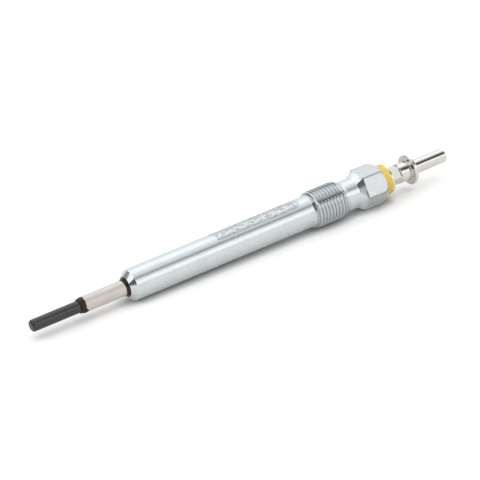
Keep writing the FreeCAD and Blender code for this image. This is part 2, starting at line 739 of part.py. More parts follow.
PIECES = [
    make_housing(),
    make_sleeve(),
    make_ceramic_rod(),
    make_element(),
    make_lead("supply_lead", "At.supply_station", "1"),
    make_lead("ground_lead", "At.ground_station", "-1"),
    make_electrode("supply_electrode", "At.supply_station", "1"),
    make_electrode("ground_electrode", "At.ground_station", "-1"),
    make_rod_braze(),
    make_nose_braze(),
    make_contact_ring(),
    make_coil(),
    make_insulating_tube(),
    make_centre_rod(),
    make_centring_ring(),
    make_seal("seal_ring_front", "At.seal_front"),
    make_seal("seal_ring_rear", "At.seal_rear"),
    make_bush(),
    make_washer(),
    make_terminal(),
]


def check_document():
    """Stop if any object failed or any piece has no sound solid."""
    for item in doc.Objects:
        if "Invalid" in item.State or "Error" in item.State:
            raise RuntimeError(f"{item.Name} failed: {item.State}")
    for body in PIECES:
        shape = body.Shape
        if shape.isNull() or not shape.isValid() or len(shape.Solids) != 1:
            raise RuntimeError(f"{body.Label} is not one sound solid")


doc.recompute()
check_document()
os.makedirs("parts", exist_ok=True)
for piece in PIECES:
    piece.Shape.exportStep(f"parts/{piece.Label}.step")
    print(f"{piece.Label}: {piece.Shape.Volume:.2f} mm3")
print(f"tilt {number('At.tilt'):.4f} degrees, hexagon turned {number('At.hex_turn'):.3f} degrees")
print(f"length {number('At.pin_end'):.2f} mm")
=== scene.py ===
import json
import math

import bmesh
import bpy
from bpy.props import FloatProperty, FloatVectorProperty, IntProperty, PointerProperty
from mathutils import Matrix, Vector


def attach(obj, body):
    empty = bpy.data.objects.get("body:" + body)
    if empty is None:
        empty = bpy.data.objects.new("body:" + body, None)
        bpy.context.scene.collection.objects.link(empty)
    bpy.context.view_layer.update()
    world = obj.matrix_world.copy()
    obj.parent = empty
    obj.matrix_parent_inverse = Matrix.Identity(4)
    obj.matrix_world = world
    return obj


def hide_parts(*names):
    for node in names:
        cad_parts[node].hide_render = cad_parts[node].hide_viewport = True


bl_info = {
    "name": "Diesel glow plug",
    "version": (1, 0, 0),
    "blender": (4, 5, 0),
    "location": "3D View > Sidebar > Glow plug",
    "description": "Housing, heater, bush and terminal of a diesel glow plug, with a studio",
    "category": "Add Mesh",
}

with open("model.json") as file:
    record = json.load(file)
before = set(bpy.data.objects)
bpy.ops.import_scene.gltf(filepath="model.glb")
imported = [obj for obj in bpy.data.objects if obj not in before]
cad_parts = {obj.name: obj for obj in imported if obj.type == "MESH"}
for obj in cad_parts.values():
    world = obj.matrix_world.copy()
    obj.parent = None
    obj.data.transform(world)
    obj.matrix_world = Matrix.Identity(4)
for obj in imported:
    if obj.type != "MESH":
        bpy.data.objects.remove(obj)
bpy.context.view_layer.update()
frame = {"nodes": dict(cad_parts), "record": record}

MM = 0.001
SEXTANT = math.radians(60)


def thread_mount():
    """The record's mount in the middle of the thread: it gives the plug's axis."""
    return next(m for m in frame["record"]["mounts"] if m["name"] == "thread")


# Sizes and colours. Stations run from the tip of the heating rod.

def length(name, description, millimetres):
    """Length that a user may change, kept in metres."""
    return FloatProperty(
        name=name, description=description, default=millimetres * MM, unit="LENGTH")


class PlugHousingSizes(bpy.types.PropertyGroup):
    columns: IntProperty(
        name="Columns", description="Faces round the turned surfaces, a multiple of 24",
        default=192, min=48, max=384)
    nose: length("Nose", "Station of the rim of the nose", 28.1)
    nose_radius: length("Nose radius", "Radius of that rim", 2.8)
    body_radius: length("Body radius", "Radius of the plain body", 4.175)
    body_end: length("Body end", "Station where the thread's front chamfer starts", 84.0)
    thread_middle: length("Thread middle", "Station of the middle of the thread", 89.335)
    thread_length: length("Thread length", "Length of the thread at its full diameter", 7.5)
    thread_radius: length("Thread radius", "Radius over the crests", 5.0)
    pitch: length("Pitch", "Distance from crest to crest", 1.0)
    neck_radius: length("Neck radius", "Radius between thread and hexagon", 4.075)
    hexagon_front: length("Hexagon front", "Station where the six flats start", 100.518)
    hexagon_rear: length("Hexagon rear", "Station of the hexagon's rear face", 106.868)
    across_flats: length("Across flats", "Width of the hexagon", 9.8)
    hexagon_turn: FloatProperty(
        name="Hexagon turn", description="Roll of the hexagon until its corner meets the floor",
        default=math.radians(7.295), subtype="ANGLE")


class PlugHeaterSizes(bpy.types.PropertyGroup):
    rod_radius: length("Rod radius", "Radius of the ceramic rod", 1.6)
    rod_length: length("Rod length", "Length of the ceramic rod", 43.8)
    tip_round: length("Tip rounding", "Rounding of the rod's tip", 0.75)
    sleeve_front: length("Sleeve front", "Station of the sleeve's front end", 15.05)
    sleeve_rear: length("Sleeve rear", "Station of the sleeve's rear end", 38.5)
    sleeve_radius: length("Sleeve radius", "Outside radius of the sleeve", 2.1)
    sleeve_wall: length("Sleeve wall", "Wall of the sleeve", 0.4)


class PlugTerminalSizes(bpy.types.PropertyGroup):
    bush_radius: length("Bush radius", "Radius of the yellow bush's flange", 4.2)
    bush_thickness: length("Bush thickness", "Thickness of that flange", 2.15)
    washer_radius: length("Washer radius", "Radius of the washer", 4.075)
    washer_thickness: length("Washer thickness", "Thickness of the washer", 0.65)
    barrel_radius: length("Barrel radius", "Radius of the terminal's barrel", 2.63)
    barrel_length: length("Barrel length", "Washer to flange", 6.7)
    crimp_across: length("Crimp across flats", "Width over the crimped flats", 4.36)
    flange_radius: length("Flange radius", "Radius of the terminal's flange", 4.075)
    flange_thickness: length("Flange thickness", "Thickness of that flange", 1.0)
    pin_radius: length("Pin radius", "Radius of the plug-in pin", 1.93)
    pin_length: length("Pin length", "Length of the plug-in pin", 10.9)
    fit_radius: length("Rod hole radius", "Hole for the centre rod", 1.62)


def colour_property(name, description, red, green, blue):
    """Colour that a user may change."""
    return FloatVectorProperty(
        name=name, description=description, subtype="COLOR", size=4, min=0, max=1,
        default=(red, green, blue, 1))


class PlugColours(bpy.types.PropertyGroup):
    zinc: colour_property("Zinc", "Clear passivated zinc plating", 0.86, 0.90, 0.91)
    zinc_mark: colour_property("Marked zinc", "Frosted strip on the body", 0.64, 0.66, 0.67)
    sleeve: colour_property("Sleeve steel", "Warm satin steel of the sleeve", 0.85, 0.79, 0.74)
    sleeve_heat: colour_property("Heated steel", "Straw tint near the nose", 0.90, 0.85, 0.70)
    ceramic: colour_property("Ceramic", "Ground dark ceramic", 0.008, 0.006, 0.005)
    braze: colour_property("Braze", "Darkened braze", 0.012, 0.009, 0.008)
    braze_warm: colour_property("Warm braze", "Brown parts of the braze", 0.045, 0.026, 0.018)
    bush: colour_property("Bush", "Yellow moulded plastic", 0.84, 0.60, 0.08)
    nickel: colour_property("Nickel", "Bright nickel plating", 0.90, 0.87, 0.82)
    tube: colour_property("Tube plastic", "Heat-resistant plastic", 0.55, 0.42, 0.28)
    steel: colour_property("Drawn steel", "Centre rod and contact ring", 0.56, 0.56, 0.55)
    rubber: colour_property("Rubber", "Black seals", 0.02, 0.02, 0.02)
    floor: colour_property("Floor", "Pale studio floor", 0.60, 0.60, 0.60)


# Laying down

def plug_placement(roll):
    """Millimetres along the plug's own axis to metres in the frame, rolled about that axis."""
    mount = thread_mount()
    axis = -Vector(mount["axis"]).normalized()
    middle = bpy.context.scene.plug_housing.thread_middle
    start = Vector(mount["pos_m"]) - axis * middle
    rise = math.atan2(axis.z, axis.x)
    return start, (roll, -rise, 0.0)


def lay_down(piece, roll):
    """Put the piece's place into its mesh."""
    start, turn = plug_placement(roll)
    piece.rotation_euler = turn
    piece.location = start
    piece.scale = (MM, MM, MM)
    pick(piece)
    bpy.ops.object.transform_apply(location=True, rotation=True, scale=True)


# Modelling by hand, in millimetres along X

def leave_edit_mode():
    if bpy.context.object and bpy.context.object.mode != "OBJECT":
        bpy.ops.object.mode_set(mode="OBJECT")


def drop_all():
    """Leave edit mode with nothing selected."""
    leave_edit_mode()
    bpy.ops.object.select_all(action="DESELECT")


def pick(*objects):
    """Select only these objects. The last one is the active one."""
    drop_all()
    for item in objects:
        item.select_set(True)
    bpy.context.view_layer.objects.active = objects[-1]


def start_chain(name, station, radius):
    """One corner on a new piece, from a plane that is merged to a point."""
    drop_all()
    bpy.ops.mesh.primitive_plane_add(size=1, location=(0, 0, 0))
    piece = bpy.context.object
    piece.name = name
    bpy.ops.object.mode_set(mode="EDIT")
    bpy.ops.mesh.select_all(action="SELECT")
    bpy.ops.mesh.merge(type="CENTER")
    bpy.ops.transform.translate(value=(station, radius, 0))
    return piece


def draw_line(points):
    """Extrude the chain from its last corner through (station, radius) points."""
    last = points[0]
    for point in points[1:]:
        step = (point[0] - last[0], point[1] - last[1], 0)
        bpy.ops.mesh.extrude_region_move(TRANSFORM_OT_translate={"value": step})
        last = point


def tidy_shell(merge=0.0005):
    """Close seams and poles and point the faces outwards."""
    bpy.ops.mesh.select_all(action="SELECT")
    bpy.ops.mesh.remove_doubles(threshold=merge)
    bpy.ops.mesh.normals_make_consistent(inside=False)


def turned(name, points, columns):
    """Piece turned about the axis from an outline of (station, radius) points."""
    piece = start_chain(name, *points[0])
    draw_line(points)
    bpy.ops.mesh.select_all(action="SELECT")
    bpy.ops.mesh.spin(steps=columns, angle=math.tau, center=(0, 0, 0), axis=(1, 0, 0))
    tidy_shell()
    leave_edit_mode()
    return piece


def arc(centre, radius, first, last, steps):
    """Points on an arc about (station, radius), angles in degrees from the +X side."""
    points = []
    for i in range(steps + 1):
        angle = math.radians(first + (last - first) * i / steps)
        points.append((centre[0] + radius * math.cos(angle), centre[1] + radius * math.sin(angle)))
    return points


def cut_line(start, end, steps):
    """Points from start to end, both kept."""
    return [tuple(a + (b - a) * i / steps for a, b in zip(start, end)) for i in range(steps + 1)]


def extend_ring(rule):
    """Extrude the open ring, and slide each new corner along its own radius by a rule.

    The rule turns an angle about the axis into a station and a radius, and may give a new angle.
    The forms it gives, such as the arcs where a crown meets the flats, aren't a scaled copy of the
    ring before.
    """
    bpy.ops.mesh.extrude_region_move()
    place_ring(rule)


def place_ring(rule):
    mesh = bmesh.from_edit_mesh(bpy.context.object.data)
    for corner in mesh.verts:
        if corner.select:
            angle = math.atan2(corner.co.z, corner.co.y)
            station, radius, *moved = rule(angle)
            angle = moved[0] if moved else angle
            corner.co = (station, radius * math.cos(angle), radius * math.sin(angle))
    bmesh.update_edit_mesh(bpy.context.object.data)


def extend_round(outline):
    """Extrude the open ring through plain (station, radius) rings."""
    for point in outline:
        extend_ring(lambda angle: point)


def start_ring(name, columns, rule):
    """Open ring of corners about the axis, the first at angle 0."""
    drop_all()
    bpy.ops.mesh.primitive_circle_add(
        vertices=columns, radius=1, fill_type="NOTHING", rotation=(0, math.pi / 2, 0))
    piece = bpy.context.object
    piece.name = name
    bpy.ops.object.transform_apply(location=True, rotation=True, scale=True)
    bpy.ops.object.mode_set(mode="EDIT")
    bpy.ops.mesh.select_all(action="SELECT")
    place_ring(rule)
    return piece


def join_shell(name, parts):
    """Join parts whose rims meet into one closed shell."""
    pick(*parts)
    bpy.ops.object.join()
    piece = bpy.context.object
    piece.name = name
    bpy.ops.object.mode_set(mode="EDIT")
    tidy_shell()
    leave_edit_mode()
    return piece


def finish(piece, degrees, material, nodes, roll=0.0):
    """Lay a piece down, smooth it, give it its material, hide the CAD nodes that it replaces, and
    hang it under the root body.
    """
    lay_down(piece, roll)
    bpy.ops.object.shade_smooth_by_angle(angle=math.radians(degrees))
    piece.data.name = piece.name
    piece.data.materials.clear()
    piece.data.materials.append(material)
    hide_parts(*nodes)
    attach(piece, "root")


def blend_least(first, second, width):
    """The smaller of two radii, rounded over where they cross."""
    share = max(0.0, min(1.0, 0.5 + 0.5 * (second - first) / width))
    return second + (first - second) * share - width * share * (1 - share)


def off_corner(angle):
    """Angle from the nearest corner of a hexagon that has a corner at angle 0."""
    return abs((angle + SEXTANT / 2) % SEXTANT - SEXTANT / 2)


# Materials

# Output of the Light Path node. Its first one is Is Camera Ray.
IS_GLOSSY = 3


def start_material(name):
    """New material with its tree, its shader and the plug's own coordinates."""
    material = bpy.data.materials.new(name)
    material.use_nodes = True
    tree = material.node_tree
    return material, tree, tree.nodes["Principled BSDF"], plug_coordinates(tree)


def add(tree, kind, **settings):
    """Node with its settings. A key that starts with in_ sets the socket of that number."""
    node = tree.nodes.new(kind)
    for key, value in settings.items():
        if key.startswith("in_"):
            node.inputs[int(key[3:])].default_value = value
        else:
            setattr(node, key, value)
    return node


def wire(tree, source, target, output=0, place=0):
    tree.links.new(source.outputs[output], target.inputs[place])


def feed(tree, operand, node, place):
    """Set or wire an input. The operand is a number, a node or a (node, output) pair."""
    if isinstance(operand, (int, float)):
        node.inputs[place].default_value = operand
    elif isinstance(operand, tuple):
        wire(tree, operand[0], node, operand[1], place)
    else:
        wire(tree, operand, node, 0, place)


def maths(tree, operation, *operands):
    """Math node with one or two operands."""
    node = add(tree, "ShaderNodeMath", operation=operation)
    for place, operand in enumerate(operands):
        feed(tree, operand, node, place)
    return node


def split(tree, vector, output=0):
    """The three parts of a vector."""
    parts = add(tree, "ShaderNodeSeparateXYZ")
    wire(tree, vector, parts, output)
    return parts


def times(tree, first, second):
    return maths(tree, "MULTIPLY", first, second)


def plus(tree, first, second):
    return maths(tree, "ADD", first, second)


def minus(tree, first, second):
    return maths(tree, "SUBTRACT", first, second)


def plug_coordinates(tree):
    """Object coordinates in millimetres along the plug's axis: station, across, up."""
    start, turn = plug_placement(0.0)
    place = add(tree, "ShaderNodeTexCoord")
    plug = add(tree, "ShaderNodeMapping", vector_type="TEXTURE")
    plug.inputs["Location"].default_value = start
    plug.inputs["Rotation"].default_value = turn
    plug.inputs["Scale"].default_value = (MM, MM, MM)
    wire(tree, place, plug, 3, 0)
    return plug


def stretched(tree, coordinates, scale):
    node = add(tree, "ShaderNodeMapping")
    node.inputs["Scale"].default_value = scale
    wire(tree, coordinates, node)
    return node


def noise(tree, coordinates, scale, detail=3.0, roughness=0.55):
    node = add(tree, "ShaderNodeTexNoise")
    node.inputs["Scale"].default_value = scale
    node.inputs["Detail"].default_value = detail
    node.inputs["Roughness"].default_value = roughness
    wire(tree, coordinates, node)
    return node


def ramp(tree, factor, stops):
    """Colour ramp from (place, grey or colour) stops."""
    node = add(tree, "ShaderNodeValToRGB")
    while len(node.color_ramp.elements) < len(stops):
        node.color_ramp.elements.new(0.5)
    for element, (place, colour) in zip(node.color_ramp.elements, stops):
        element.position = place
        if isinstance(colour, (int, float)):
            colour = (colour, colour, colour)
        element.color = (*colour[:3], 1)
    wire(tree, factor, node)
    return node


def blend_colour(tree, factor, first, second):
    """Mix of two colours. Each is a colour or a node."""
    node = add(tree, "ShaderNodeMix", data_type="RGBA")
    feed(tree, factor, node, 0)
    for place, colour in ((6, first), (7, second)):
        if isinstance(colour, bpy.types.Node):
            output = 2 if colour.bl_idname == "ShaderNodeMix" else 0
            wire(tree, colour, node, output, place)
        else:
            node.inputs[place].default_value = (*tuple(colour)[:3], 1)
    return node


def step_up(tree, value, low, high, output=0):
    """0 below low, 1 above high, even between."""
    node = add(tree, "ShaderNodeMapRange")
    node.inputs[1].default_value = low
    node.inputs[2].default_value = high
    wire(tree, value, node, output, 0)
    return node


def between(tree, parts, first, last, rise, fall):
    """1 between two stations and 0 beyond them, with a short slope at either end."""
    return times(tree, step_up(tree, parts, first, first + rise),
                 step_up(tree, parts, last, last - fall))


def socket_number(node, name):
    return next(i for i, s in enumerate(node.inputs) if s.name == name)


def to_shader(tree, node, shader, name):
    output = 2 if node.bl_idname == "ShaderNodeMix" else 0
    wire(tree, node, shader, output, socket_number(shader, name))


def to_bump(tree, shader, height, distance):
    """Surface detail from a height. The distance is in metres."""
    node = add(tree, "ShaderNodeBump", in_1=distance)
    wire(tree, height, node, 0, socket_number(node, "Height"))
    to_shader(tree, node, shader, "Normal")


def cloudy(tree, plug, colour, other, scale=0.5, low=0.3, high=0.7):
    """Slow change from one colour to another."""
    cloud = noise(tree, plug, scale)
    return blend_colour(tree, ramp(tree, cloud, [(low, 0.0), (high, 1.0)]), colour, other)


def scaled(colour, share):
    return [c * share for c in colour]


def even_finish(tree, shader, tint, marks, spread, least, depth, metallic=1.0):
    """Colour, and a roughness and a bump that follow the same marks."""
    to_shader(tree, tint, shader, "Base Color")
    shader.inputs["Metallic"].default_value = metallic
    to_shader(tree, plus(tree, times(tree, marks, spread), least), shader, "Roughness")
    to_bump(tree, shader, marks, depth)


def axis_tangent(tree, shader):
    """Lathe marks run round the plug, so reflections stretch along its axis."""
    _, turn = plug_placement(0.0)
    along = add(tree, "ShaderNodeCombineXYZ", in_0=math.cos(turn[1]), in_2=-math.sin(turn[1]))
    to_shader(tree, along, shader, "Tangent")


def lathe_marks(tree, plug, pitch):
    """Fine rings round the axis: a noise that hardly changes across the axis."""
    return noise(tree, stretched(tree, plug, (1 / pitch, 0.12, 0.12)), 1.0, 2.0, 0.6)


# Where the finish of the plating changes and where shade is painted, in millimetres
STRIP_FRONT, STRIP_REAR, STRIP_HALF_WIDTH, STRIP_ROUND = 55.0, 79.5, 2.02, 2.0
STRIP_BEARING = math.radians(80.5)
BLANK_HALF_WIDTH = 1.45
TURNS_FRONT, TURNS_REAR = 84.2, 94.6
CREST_RADIUS, GROOVE_RADIUS = 4.93, 4.60
FLATS_FRONT, FLATS_RADIUS = 99.8, 4.80
TINT_FRONT, TINT_REAR = 24.2, 27.6
SEAT_REAR = 29.7
COLLAR_FRONT, COLLAR_REAR = 98.7, 100.9
FLANGE_FACE_FRONT, FLANGE_FACE_REAR = 116.30, 116.46


def frosted_strip(tree, parts):
    """Mask of the strip on the upper side of the body, and the distance from its middle line.

    Its front end is cut at a slant, and its rear end is round.
    """
    bearing = maths(tree, "ARCTAN2", (parts, 2), times(tree, (parts, 1), -1.0))
    body = bpy.context.scene.plug_housing.body_radius / MM
    across = times(tree, minus(tree, bearing, STRIP_BEARING), body)
    wide = maths(tree, "ABSOLUTE", across)
    bulge = maths(tree, "SQRT", maths(
        tree, "MAXIMUM", minus(tree, STRIP_ROUND ** 2, times(tree, across, across)), 0.0))
    rear = minus(tree, plus(tree, bulge, STRIP_REAR), (parts, 0))
    slant = plus(tree, (parts, 0), times(tree, across, 0.35))
    inside = times(tree, step_up(tree, minus(tree, STRIP_HALF_WIDTH, wide), 0.0, 0.1),
                   step_up(tree, rear, 0.0, 0.12))
    return times(tree, inside, step_up(tree, slant, STRIP_FRONT, STRIP_FRONT + 0.12)), wide


def zinc_material(roll):
    colours = bpy.context.scene.plug_colours
    material, tree, shader, plug = start_material("clear_zinc")
    parts = split(tree, plug)
    radius = maths(tree, "SQRT", plus(tree, times(tree, (parts, 1), (parts, 1)),
                                      times(tree, (parts, 2), (parts, 2))))
    whole = cloudy(tree, plug, colours.zinc, scaled(colours.zinc, 0.95), 0.22, 0.35)
    # frosted strip with dark specks and bright blanks
    strip, wide = frosted_strip(tree, parts)
    grain = noise(tree, stretched(tree, plug, (2.1, 2.1, 2.1)), 1.0, 4.0, 0.7)
    frosted = blend_colour(tree, ramp(tree, grain, [(0.40, 1.0), (0.50, 0.0)]), colours.zinc_mark,
                           scaled(colours.zinc_mark, 0.5))
    blank = noise(tree, stretched(tree, plug, (0.9, 1.2, 1.2)), 1.0, 2.0)
    blank = times(tree, ramp(tree, blank, [(0.44, 0.0), (0.52, 1.0)]),
                  step_up(tree, wide, BLANK_HALF_WIDTH, BLANK_HALF_WIDTH - 0.3))
    frosted = blend_colour(tree, times(tree, blank, 0.6), frosted, (0.95, 0.97, 0.98))
    whole = blend_colour(tree, strip, whole, frosted)
    # painted shade: the grooves between the turns are coloured darker than the crests
    turns = between(tree, parts, TURNS_FRONT, TURNS_REAR, 0.3, 0.3)
    groove_shade = times(tree, turns, step_up(tree, radius, CREST_RADIUS, GROOVE_RADIUS))
    whole = blend_colour(tree, groove_shade, whole, (0.58, 0.61, 0.62))
    # brushed flats with streaks, and a painted dark reflection line along each corner
    flats = times(tree, step_up(tree, radius, FLATS_RADIUS, FLATS_RADIUS + 0.06),
                  step_up(tree, parts, FLATS_FRONT, FLATS_FRONT + 0.6))
    whole = blend_colour(tree, flats, whole, (0.76, 0.78, 0.78))
    streaks = noise(tree, stretched(tree, plug, (0.25, 7.0, 7.0)), 1.0)
    turn = maths(tree, "DIVIDE", minus(
        tree, maths(tree, "ARCTAN2", (parts, 2), (parts, 1)), roll), SEXTANT)
    off = maths(tree, "ABSOLUTE", minus(tree, turn, maths(tree, "ROUND", turn)))
    # painted reflection: a dark line coloured along each corner of the flats
    painted_corner_reflection = times(tree, flats, step_up(tree, off, 0.070, 0.035))
    lines = times(tree, flats, ramp(tree, streaks, [(0.35, 0.30), (0.6, 0.0)]))
    whole = blend_colour(tree, maths(tree, "MAXIMUM", times(tree, painted_corner_reflection, 0.85), lines),
                         whole, (0.40, 0.42, 0.43))
    to_shader(tree, whole, shader, "Base Color")
    shader.inputs["Metallic"].default_value = 1.0
    # seat, turns and collar mirror more sharply than the drawn body
    seat = step_up(tree, parts, SEAT_REAR, SEAT_REAR - 0.4)
    collar = between(tree, parts, COLLAR_FRONT, COLLAR_REAR, 0.2, 0.4)
    sharp = maths(tree, "MAXIMUM", maths(tree, "MAXIMUM", seat, turns), times(tree, collar, 0.7))
    to_shader(tree, minus(tree, 0.9, times(tree, sharp, 0.8)), shader, "Anisotropic")
    marks = lathe_marks(tree, plug, 0.11)
    drawn = noise(tree, stretched(tree, plug, (0.5, 2.4, 2.4)), 1.0, 4.0, 0.65)
    rough = plus(tree, times(tree, marks, 0.10), 0.14)
    rough = plus(tree, rough, times(tree, drawn, 0.14))
    rough = plus(tree, rough, times(tree, strip, 0.12))
    to_shader(tree, minus(tree, rough, times(tree, sharp, 0.16)), shader, "Roughness")
    height = plus(tree, times(tree, marks, 0.25), times(tree, times(tree, grain, strip), 1.6))
    height = plus(tree, height, times(tree, times(tree, streaks, flats), 0.8))
    to_bump(tree, shader, plus(tree, height, times(tree, drawn, 0.5)), 5e-6)
    axis_tangent(tree, shader)
    return material


def nickel_material():
    nickel = bpy.context.scene.plug_colours.nickel
    material, tree, shader, plug = start_material("bright_nickel")
    tint = cloudy(tree, plug, nickel, scaled(nickel, 0.96))
    # painted shade: the flange's front face is coloured darker than its rim
    parts = split(tree, plug)
    face = between(tree, parts, FLANGE_FACE_FRONT, FLANGE_FACE_REAR, 0.06, 0.06)
    tint = blend_colour(tree, face, tint, (0.66, 0.63, 0.58))
    even_finish(tree, shader, tint, lathe_marks(tree, plug, 0.14), 0.08, 0.06, 1.5e-6)
    return material


def sleeve_material():
    """Satin steel with a straw tint towards the nose."""
    colours = bpy.context.scene.plug_colours
    material, tree, shader, plug = start_material("satin_steel")
    heat = step_up(tree, split(tree, plug), TINT_FRONT, TINT_REAR)
    cloud = noise(tree, stretched(tree, plug, (0.35, 0.7, 0.7)), 1.0, 4.0)
    shade = blend_colour(tree, ramp(tree, cloud, [(0.3, 0.90), (0.7, 1.0)]), (0, 0, 0),
                         blend_colour(tree, heat, colours.sleeve, colours.sleeve_heat))
    even_finish(tree, shader, shade, lathe_marks(tree, plug, 0.09), 0.2, 0.46, 3e-6)
    shader.inputs["Anisotropic"].default_value = 0.4
    axis_tangent(tree, shader)
    return material


def ceramic_material():
    ceramic = bpy.context.scene.plug_colours.ceramic
    material, tree, shader, plug = start_material("ground_ceramic")
    tint = cloudy(tree, plug, ceramic, scaled(ceramic, 1.5), 0.6)
    fine = noise(tree, stretched(tree, plug, (9.0, 3.0, 3.0)), 1.0, 5.0, 0.7)
    even_finish(tree, shader, tint, fine, 0.09, 0.05, 3e-6, 0.0)
    shader.inputs["IOR"].default_value = 1.8
    shader.inputs["Specular Tint"].default_value = (1.0, 0.96, 0.93, 1)
    return material


def braze_material():
    colours = bpy.context.scene.plug_colours
    material, tree, shader, plug = start_material("dark_braze")
    tint = cloudy(tree, plug, colours.braze, colours.braze_warm, 0.7, 0.42, 0.66)
    even_finish(tree, shader, tint, noise(tree, plug, 1.6, 4.0, 0.6), 0.35, 0.08, 6e-5, 0.35)
    return material


def bush_material():
    material, tree, shader, plug = start_material("yellow_plastic")
    tint = cloudy(tree, plug, bpy.context.scene.plug_colours.bush, (0.80, 0.46, 0.05), high=0.75)
    even_finish(tree, shader, tint, noise(tree, plug, 7.0), 0.2, 0.30, 6e-6, 0.0)
    return material


def plain_metal(name, colour, rough):
    """Metal of the inner pieces."""
    material, tree, shader, plug = start_material(name)
    tint = cloudy(tree, plug, colour, scaled(colour, 0.88))
    even_finish(tree, shader, tint, lathe_marks(tree, plug, 0.12), 0.15, rough, 2e-6)
    return material


def plain_soft(name, colour, rough):
    """Matt plastic, rubber or ceramic of the inner pieces."""
    material, tree, shader, plug = start_material(name)
    tint = cloudy(tree, plug, colour, scaled(colour, 0.8), 0.6)
    even_finish(tree, shader, tint, noise(tree, plug, 5.0, 4.0), 0.2, rough, 5e-6, 0.0)
    return material


# Pieces

# Angles of the chamfers at both ends of the thread, of the seat's shoulder and of the crown
FRONT_CHAMFER, REAR_CHAMFER = math.radians(27.5), math.radians(22.5)
SEAT_TURN, CROWN_SLOPE = math.radians(45), math.radians(26.6)
# Rounds at the seat's shoulder and before the thread, and on the hexagon's corners
SHOULDER_ROUND, LEAD_IN_ROUND, CORNER_ROUND = 0.35, 1.2, 0.3
# Depth and root radius of the thread's outline, as shares of the pitch
THREAD_DEPTH, THREAD_ROOT = 0.6134, 0.1443
COLLAR_LENGTH = 1.75


